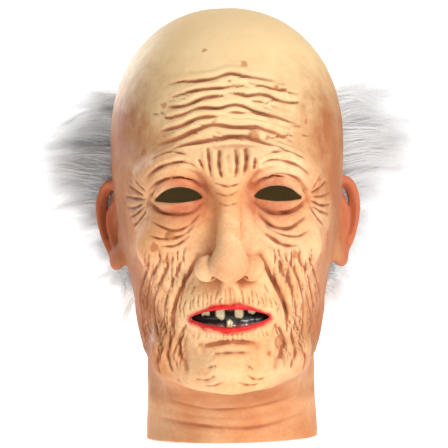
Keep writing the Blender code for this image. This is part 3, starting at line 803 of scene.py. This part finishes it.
def slab(name, outer, inner):
    """A closed sheet between two grids of points, in millimetres."""
    rows, columns = outer.shape[:2]
    top = np.arange(rows * columns).reshape(rows, columns)
    low = top + rows * columns
    upper = np.stack([top[:-1, :-1], top[:-1, 1:], top[1:, 1:], top[1:, :-1]], axis=-1)
    lower = np.stack([low[:-1, :-1], low[1:, :-1], low[1:, 1:], low[:-1, 1:]], axis=-1)
    ring = np.concatenate([top[0, :-1], top[:-1, -1], top[-1, :0:-1], top[:0:-1, 0]])
    after = np.roll(ring, -1)
    side = np.stack([after, ring, ring + rows * columns, after + rows * columns], axis=-1)
    quads = [upper.reshape(-1, 4), lower.reshape(-1, 4), side]
    every = np.concatenate([outer.reshape(-1, 3), inner.reshape(-1, 3)])
    return make_mesh(name, every * MM, np.concatenate(quads))


def box_in_mm(name):
    """The low and the high corner of a piece's place in the frame."""
    return [np.array(corner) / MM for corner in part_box(name)]


TEETH = [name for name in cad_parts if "_tooth" in name]
tray_low, tray_high = box_in_mm("mouth_tray")
tray_x, tray_z = np.meshgrid(
    np.linspace(tray_low[0] + 1, tray_high[0] - 1, 121), np.linspace(tray_low[2] + 1, tray_high[2] - 1, 61)
)
across = tray_x / tray_high[0]
up = 2 * (tray_z - tray_low[2]) / (tray_high[2] - tray_low[2]) - 1
lip_back = np.array([[face_depth(room, x, z) for x, z in zip(*row)] for row in zip(tray_x, tray_z)])
lip_back = lip_back + WALL + 0.9
pocket = 8.5 * held(1 - across**6) * held(1 - up**8)
gum = np.zeros_like(up)
for line, reach, size in ((0.44 - 0.16 * across**2, 0.26, 3.9), (-0.46 + 0.22 * across**2, 0.22, 3.9)):
    lump = np.exp(-(((up - line) / reach) ** 2)) * held(1.15 - across**4)
    lump = lump * (1 + 0.10 * np.cos(tray_x * 2 * math.pi / 7.3))
    pocket = pocket - size * lump
    gum = np.maximum(gum, lump)
tray_y = lip_back + np.maximum(pocket, 0) + BACK_SHIFT
outer = np.stack([tray_x, tray_y, tray_z], axis=-1)
tray = slab("mouth_lining", outer, outer + (0, 1.6, 0))
outline = np.zeros_like(up)
for name in TEETH:
    low, high = box_in_mm(name)
    beside = np.maximum(np.abs(tray_x - (low[0] + high[0]) / 2) - (high[0] - low[0]) / 2 + 0.4, 0)
    above = np.maximum(np.abs(tray_z - (low[2] + high[2]) / 2) - (high[2] - low[2]) / 2 + 0.4, 0)
    outline = np.maximum(outline, np.exp(-((np.hypot(beside, above) / 0.9) ** 2)))
for name, values in (("gum", gum), ("outline", outline)):
    store(tray, name, np.tile(values.ravel(), 2))
MAUVE, DARK_MAUVE, GLOSS_BLACK = (0.42, 0.16, 0.15, 1), (0.20, 0.05, 0.055, 1), (0.012, 0.008, 0.008, 1)
gloss, shader, start = finish("gum_and_black_paint", IOR=1.5, Coat_Roughness=0.12)
place = start.node("ShaderNodeTexCoord", out=3)
blotch = mottle(220.0, 3.0)
mauve = coat(DARK_MAUVE, MAUVE, blotch)
cover = ((read("gum") * 2.2 - 1.0 + (blotch - 0.5) * 0.9).held() * (1 - read("outline"))).held()
feed(coat(mauve, GLOSS_BLACK, cover), shader, "Base Color")
feed(0.22 + 0.25 * blotch, shader, "Roughness")
feed(0.35 + 0.4 * cover, shader, "Coat Weight")
relief(shader, 0.35, 0.0005, blotch)
tray.data.materials.append(gloss)
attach(tray, "root")
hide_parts("mouth_tray")

# ------------------------------------------------------------
# The teeth: seven worn teeth cast in hard resin, six above and one below, ivory with stained roots. Each is
# set in its gum with glue, a little askew.
IVORY, OLD_IVORY = (0.84, 0.74, 0.50, 1), (0.78, 0.60, 0.30, 1)
AMBER, TARTAR = (0.70, 0.34, 0.07, 1), (0.06, 0.022, 0.012, 1)
enamel, shader, start = finish("stained_tooth", IOR=1.55, Coat_Roughness=0.1, Subsurface_Weight=0.08)
shader.inputs["Subsurface Scale"].default_value = 0.002
place = start.node("ShaderNodeTexCoord", out=3)
stain = mottle(420.0, 4.0)
toward_root = read("root")
ivory = coat(OLD_IVORY, IVORY, stain)
amber = coat(ivory, AMBER, (0.70 - toward_root * 1.25 + (stain - 0.5) * 1.1).held())
feed(coat(TARTAR, amber, (read("rim") * (0.6 + 0.6 * stain)).held()), shader, "Base Color")
feed(0.22 + 0.3 * stain, shader, "Roughness")
feed(0.7 - 0.4 * stain, shader, "Coat Weight")
relief(shader, 0.3, 0.0003, stain)

# the six sides of a cube, sewn together and swollen into a soft block
STEPS = 13
row = np.linspace(-1, 1, STEPS)
flat_u, flat_v = (part.ravel() for part in np.meshgrid(row, row, indexing="ij"))
lattice = np.arange(STEPS**2).reshape(STEPS, STEPS)
one_side = np.stack([lattice[:-1, :-1], lattice[1:, :-1], lattice[1:, 1:], lattice[:-1, 1:]], axis=-1)
one_side = one_side.reshape(-1, 4)
shell, shell_faces = [], []
for axis in range(3):
    for end in (1, -1):
        cube = np.empty((STEPS**2, 3))
        cube[:, axis], cube[:, (axis + 1) % 3], cube[:, (axis + 2) % 3] = end, flat_u, flat_v
        shell_faces.append((one_side if end > 0 else one_side[:, ::-1]) + STEPS**2 * len(shell))
        shell.append(cube)
keys, merged = np.unique(np.round(np.concatenate(shell), 5), axis=0, return_inverse=True)
shell_faces = merged.reshape(-1)[np.concatenate(shell_faces)]
soft_cube = keys / (np.abs(keys) ** 4).sum(1, keepdims=True) ** 0.25
soft_cube = soft_cube / (np.abs(soft_cube) ** 3.2).sum(1, keepdims=True) ** (1 / 3.2)
for name in TEETH:
    low, high = box_in_mm(name)
    upper = "upper" in name
    root = soft_cube[:, 2] * (1 if upper else -1)
    shape = soft_cube.copy()
    shape[:, 0] *= 0.93 - 0.17 * root + 0.05 * chance.normal()
    shape[:, 1] *= 0.86 + 0.14 * root
    worn = 0.10 * np.sin(4 * shape[:, 0] + chance.uniform(0, 6)) + 0.16 * chance.normal() * shape[:, 0]
    shape[:, 2] += worn * (root < 0) * np.abs(root) * (-1 if upper else 1)
    shape[:, 1] += 0.05 * np.cos(7 * shape[:, 0]) * (shape[:, 1] < 0)
    leaning = Matrix.Rotation(chance.normal(0, 0.07), 3, "Y")
    spin = np.array(leaning @ Matrix.Rotation(chance.normal(0, 0.1), 3, "Z"))
    body = (shape * (high - low) / 2) @ spin.T + (high + low) / 2 + (0, -0.6, 0)
    tooth = make_mesh(f"{name}_enamel", body * MM, shell_faces)
    store(tooth, "root", root)
    store(tooth, "rim", held(held(np.abs(shape[:, 0]) * 5 - 3.5) + held(root * 5 - 3.4)))
    tooth.data.materials.append(enamel)
    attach(tooth, "root")
    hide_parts(name)

# ------------------------------------------------------------
# The fur backings: three strips of knitted cloth, one behind each ear and one round the back of the head.
# They are cut from long-pile fabric and glued to the latex.


def scalp_at(angle, z, lift):
    """Points over the back of the head: the angle runs from straight back round to the side."""
    share = (z - CHIN) / HEIGHT
    level = eased(LEVELS, np.minimum(share, SKULL))
    rise = held((share - SKULL) / (1 - SKULL))
    ring = (1 - rise**CROWN_FULLNESS) ** (1 / CROWN_FULLNESS)
    x = (level[:, 0] * HALF_W * ring + lift) * np.sin(angle)
    y = level[:, 2] * HALF_D + ((level[:, 3] - level[:, 2]) * HALF_D * ring + lift) * np.cos(angle)
    return np.stack([x, y + BACK_SHIFT, z], axis=1)


knit, shader, start = finish("knitted_backing", IOR=1.4, Sheen_Weight=0.3)
place = start.node("ShaderNodeTexCoord", out=3)
loops = {"Scale": 260.0, "Distortion": 1.2, "Detail": 2.0, "Vector": place}
courses = start.node("ShaderNodeTexWave", {"bands_direction": "Z"}, loops)
wales = start.node("ShaderNodeTexWave", {"bands_direction": "X"}, {**loops, "Scale": 190.0})
weave = courses * wales
feed(coat((0.86, 0.85, 0.82, 1), (0.62, 0.60, 0.57, 1), weave), shader, "Base Color")
feed(0.95 - 0.2 * weave, shader, "Roughness")
relief(shader, 0.6, 0.0006, weave)

SIDE_TURN = (math.radians(57.6), math.radians(79.5))  # where the side strips begin and end round the head
CLOTH_FACE, CLOTH_BACK = 1.6, 0.45  # above the latex
for name, low_turn, high_turn in (
    ("left_hair_backing", SIDE_TURN[0], SIDE_TURN[1]),
    ("right_hair_backing", -SIDE_TURN[1], -SIDE_TURN[0]),
    ("nape_hair_backing", -SIDE_TURN[0] + 0.01, SIDE_TURN[0] - 0.01),
):
    low, high = box_in_mm(name)
    turns, heights = np.meshgrid(
        np.linspace(low_turn, high_turn, max(int((high_turn - low_turn) * 50), 12)),
        np.linspace(low[2] + 0.3, high[2] - 0.3, 56),
    )
    ragged = np.array([0.6 * noise((a * 9, z * 0.12, 3)) for a, z in zip(turns.ravel(), heights.ravel())])
    at = (turns.ravel(), heights.ravel() + ragged)
    front, rear = (scalp_at(*at, lift).reshape(*turns.shape, 3) for lift in (CLOTH_FACE, CLOTH_BACK))
    cloth = slab(f"{name}_knit", front, rear)
    cloth.data.materials.append(knit)
    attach(cloth, "root")
    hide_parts(name)

# ------------------------------------------------------------
# The pile: long white synthetic hair, knitted into its backing. It leaves the head in locks, combed out
# behind the ears and down over the nape, and each hair is a thin tapered ribbon.
pile_white, shader, start = finish("white_pile", IOR=1.5, Roughness=0.42)
along, shade = read("along"), read("shade")
# the hairs are painted grey towards their roots: painted shade, deep in the pile
root_painted_shade = coat((0.78, 0.78, 0.78, 1), (0.98, 0.98, 0.98, 1), (1 - along * 2.6).held() * 0.5)
feed(coat((0.80, 0.80, 0.80, 1), root_painted_shade, (shade * 1.3 - 0.5).held() * 0.35), shader, "Base Color")
glow = start.node("ShaderNodeBsdfTranslucent", {}, {"Color": (0.99, 0.99, 0.99, 1)})
both = start.node("ShaderNodeMixShader", {}, {0: 0.5, 1: Tone(start.tree, shader.outputs[0]), 2: glow})
start.tree.links.new(both.socket, start.tree.nodes["Material Output"].inputs["Surface"])
HAIR_POINTS = 8
LOCK_HAIRS = 118
SIDE_LOCKS, NAPE_LOCKS = 84, 118
STRAY_SHARE = 0.09
TRIM = 144  # how far across the tips reach before they are trimmed back
EAR_BACK = 37  # the pile stays behind the ears, from here


def comb(name, node, roots, tips, lift, locks, width, seed):
    """A pile of hairs. Roots and tips are functions that give the locks their ends; lift is how they arch."""
    draw = np.random.default_rng(seed)
    lock_root, outward = roots(draw, locks)
    lock_tip = tips(draw, lock_root, outward)
    owner = np.repeat(np.arange(locks), LOCK_HAIRS)
    count = len(owner)
    t = np.linspace(0, 1, HAIR_POINTS)[None, :, None]
    spread = draw.normal(0, 1, (count, 1, 3)) * (4.2, 3.4, 4.4)
    spread -= (spread * outward[owner][:, None, :]).sum(-1, keepdims=True) * outward[owner][:, None, :]
    start_at = lock_root[owner][:, None, :] + spread
    stray = (draw.random((count, 1, 1)) < STRAY_SHARE).astype(float)
    length = (draw.beta(4, 1.7, (count, 1, 1)) * 0.66 + 0.42) * draw.uniform(0.80, 1.15, (locks, 1, 1))[owner]
    end_at = lock_tip[owner][:, None, :] + draw.normal(0, 1, (count, 1, 3)) * (1.5 + 7 * stray)
    end_at = start_at * (1 - length) + (end_at + 0.06 * spread) * length
    arch = np.array(lift)[None, None, :] * draw.normal(1, 0.35, (locks, 1, 1))[owner]
    arch = arch + outward[owner][:, None, :] * draw.uniform(1, 7, (count, 1, 1))
    bend = start_at * 0.55 + end_at * 0.45 + arch * length
    path = (1 - t) ** 2 * start_at + 2 * t * (1 - t) * bend + t**2 * end_at
    turn = draw.uniform(0, 6.28, (locks, 1, 3))[owner]
    path = path + draw.normal(0, 1.7, (locks, 1, 3))[owner] * np.sin(5.5 * t + turn) * t
    sway = draw.normal(0, 0.8, (count, 1, 3))
    path = path + sway * np.sin(9 * t + draw.uniform(0, 6.28, (count, 1, 3))) * t
    path[:, :, 2] -= (4.5 * length * t**3)[:, :, 0]
    far_out = np.abs(path[:, :, 0])
    path[:, :, 0] = np.sign(path[:, :, 0]) * np.minimum(far_out, TRIM + 0.3 * np.maximum(far_out - TRIM, 0))
    ahead = np.maximum(EAR_BACK - path[:, :, 1], 0)
    path[:, :, 1] += 0.62 * ahead * held(3 * t[:, :, 0])
    run = np.gradient(path, axis=1)
    run /= np.linalg.norm(run, axis=2, keepdims=True)
    across = np.cross(run, draw.normal(0, 1, (count, 1, 3)))
    across /= np.linalg.norm(across, axis=2, keepdims=True)
    half = 0.5 * width * (1.02 - t**1.6) * draw.uniform(0.7, 1.2, (count, 1, 1))
    ribbon = np.stack([path - across * half, path + across * half], axis=2).reshape(-1, 3)
    first = (np.arange(count)[:, None] * HAIR_POINTS + np.arange(HAIR_POINTS - 1)[None, :]).ravel() * 2
    made = make_mesh(name, ribbon * MM, np.stack([first, first + 1, first + 3, first + 2], axis=1))
    tone = np.clip(0.5 + 0.30 * draw.normal(size=locks)[owner] + 0.16 * draw.normal(size=count), 0.02, 0.98)
    down = np.broadcast_to(t * 0.96 + 0.02, (count, HAIR_POINTS, 1))
    tones = np.repeat(tone, HAIR_POINTS * 2)
    downs = np.repeat(down.reshape(-1), 2)
    store(made, "along", downs)
    store(made, "shade", tones)
    # hairs of one tone share one strip of the map, so the strip holds that tone's colours from root to tip
    corners = np.empty(len(made.data.loops), np.int32)
    made.data.loops.foreach_get("vertex_index", corners)
    chart = made.data.uv_layers.new(name="OFBake")
    strip = np.stack([tones + np.tile([-0.004, 0.004], len(tones) // 2), downs], axis=1)[corners]
    chart.uv.foreach_set("vector", strip.astype(np.float32).ravel())
    made.data.materials.append(pile_white)
    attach(made, "root")
    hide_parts(node)


def rooted(low_turn, high_turn, low_z, high_z):
    """Lock roots spread over a patch of the head, with the way out of the head at each."""

    def roots(draw, locks):
        turns, heights = draw.uniform(low_turn, high_turn, locks), draw.uniform(low_z, high_z, locks)
        heights = heights + draw.normal(0, 1.6, locks)
        at, out = scalp_at(turns, heights, CLOTH_FACE), scalp_at(turns, heights, CLOTH_FACE + 2)
        higher = scalp_at(turns, heights + 1, CLOTH_FACE) - at
        aside = scalp_at(turns + 0.01, heights, CLOTH_FACE) - at
        normal = np.cross(aside, higher)
        normal *= np.sign((normal * (out - at)).sum(1, keepdims=True))
        return at, normal / np.linalg.norm(normal, axis=1, keepdims=True)

    return roots


# where the locks of each side end: root height, then the tip's place across and up
TUFTS = {
    1: (
        (108, 86, 98), (125, 93, 116), (145, 106, 140), (165, 124, 168),
        (190, 144, 190), (214, 142, 212), (236, 112, 238),
    ),
    -1: (
        (108, 84, 110), (125, 95, 130), (145, 116, 150), (165, 138, 172),
        (190, 153, 191), (214, 138, 214), (236, 112, 234),
    ),
}


def combed_out(side):
    """Tips for the locks behind one ear, combed out to the side."""
    table = np.array(TUFTS[side], float)

    def tips(draw, root, outward):
        ends = eased(table, root[:, 2])
        swing = np.where(root[:, 1] < 40, draw.normal(2, 6, len(root)), draw.normal(11, 9, len(root)))
        tip = np.stack([side * ends[:, 0], root[:, 1] + swing, ends[:, 1]], axis=1)
        tip += draw.normal(0, 1, tip.shape) * (7, 0, 9)
        back = held((root[:, 1] - 36) / 26)  # the rearmost locks are shorter
        tip[:, 0] -= side * (4 + 16 * back * draw.uniform(0, 1, len(root)))
        tip[:, 0] = np.clip(tip[:, 0], -TRIM - 3, TRIM + 3)
        return tip

    return tips


def combed_down(draw, root, outward):
    """Tips for the locks round the back, combed down over the nape."""
    reach = draw.uniform(9, 19, (len(root), 1))
    fall = draw.uniform(28, 52, len(root)) * np.clip((root[:, 2] - 62) / 60, 0.4, 1)
    tip = root + outward * reach
    tip[:, 2] -= fall
    tip[:, 0] += draw.normal(0, 5, len(root)) + 0.06 * root[:, 0]
    return tip


left_low, left_high = box_in_mm("left_hair_backing")
nape_low, nape_high = box_in_mm("nape_hair_backing")
for side, name in ((1, "left"), (-1, "right")):
    turns = sorted((side * SIDE_TURN[0], side * SIDE_TURN[1]))
    patch = rooted(turns[0], turns[1], left_low[2] + 3, left_high[2] - 3)
    comb(f"{name}_hair", f"{name}_hair_pile", patch, combed_out(side), (0, 2, 7), SIDE_LOCKS, 0.42, 20 + side)
patch = rooted(-SIDE_TURN[0] - 0.06, SIDE_TURN[0] + 0.06, nape_low[2] + 3, nape_high[2] - 2)
comb("nape_hair", "nape_hair_pile", patch, combed_down, (0, 4, 9), NAPE_LOCKS, 0.45, 31)

# ------------------------------------------------------------
# The table and the light: a white paper sweep, a large soft light at the viewer's right with a weak one
# opposite, one from behind and one overhead.
sweep_profile = rounded([(-0.9, 0.0), (1.2, 0.0), (2.4, 0.12), (3.2, 0.8), (3.4, 2.2)], 8)
sweep_points = np.array([(x, y, z) for y, z in sweep_profile for x in (-0.9, 0.9)])
sweep_points[:, 2] = np.maximum(sweep_points[:, 2], 0) - 0.0003
first = 2 * np.arange(len(sweep_profile) - 1)
sweep = make_mesh("sweep", sweep_points, np.stack([first, first + 1, first + 3, first + 2], axis=1))
white, shader, _ = finish("white_paper", Roughness=0.9, Emission_Strength=0.7)
shader.inputs["Base Color"].default_value = (0.92, 0.92, 0.92, 1)
shader.inputs["Emission Color"].default_value = (1, 1, 1, 1)
sweep.data.materials.append(white)


def soft_light(name, spot, size, power):
    """A square soft box, turned towards the middle of the mask."""
    lamp = bpy.data.lights.new(name, "AREA")
    lamp.shape, lamp.size, lamp.energy = "SQUARE", size, power
    made = bpy.data.objects.new(name, lamp)
    made.location = spot
    made.rotation_euler = (Vector((0, 0, 0.16)) - Vector(spot)).to_track_quat("-Z", "Y").to_euler()
    bpy.context.scene.collection.objects.link(made)


soft_light("key", (1.1, -1.75, 1.0), 0.8, 39)
soft_light("fill", (-1.7, -0.9, 0.5), 0.9, 1.5)
soft_light("back", (-1.0, 1.4, 0.8), 0.9, 24)
soft_light("top", (0.5, 0.1, 2.1), 1.2, 12)

# the room gives a little light, and is white to look at all round beyond the sweep
world = bpy.data.worlds.new("studio")
world.use_nodes = True
room_light = world.node_tree.nodes["Background"]
room_light.inputs["Color"].default_value = (1, 1, 1, 1)
ROOM = 0.17
seen = Tone(world.node_tree, None).node("ShaderNodeLightPath")
feed(ROOM + (1 - ROOM) * seen, room_light, "Strength")
bpy.context.scene.world = world
bpy.context.scene.view_settings.view_transform = "Standard"

lens = bpy.data.cameras.new("camera")
lens.lens, lens.sensor_width = 205, 36
camera = bpy.data.objects.new("camera", lens)
camera.location = (-0.003, -1.75, 0.1475)
camera.rotation_euler = (math.radians(90), math.radians(1), 0)
bpy.context.scene.collection.objects.link(camera)
bpy.context.scene.camera = camera
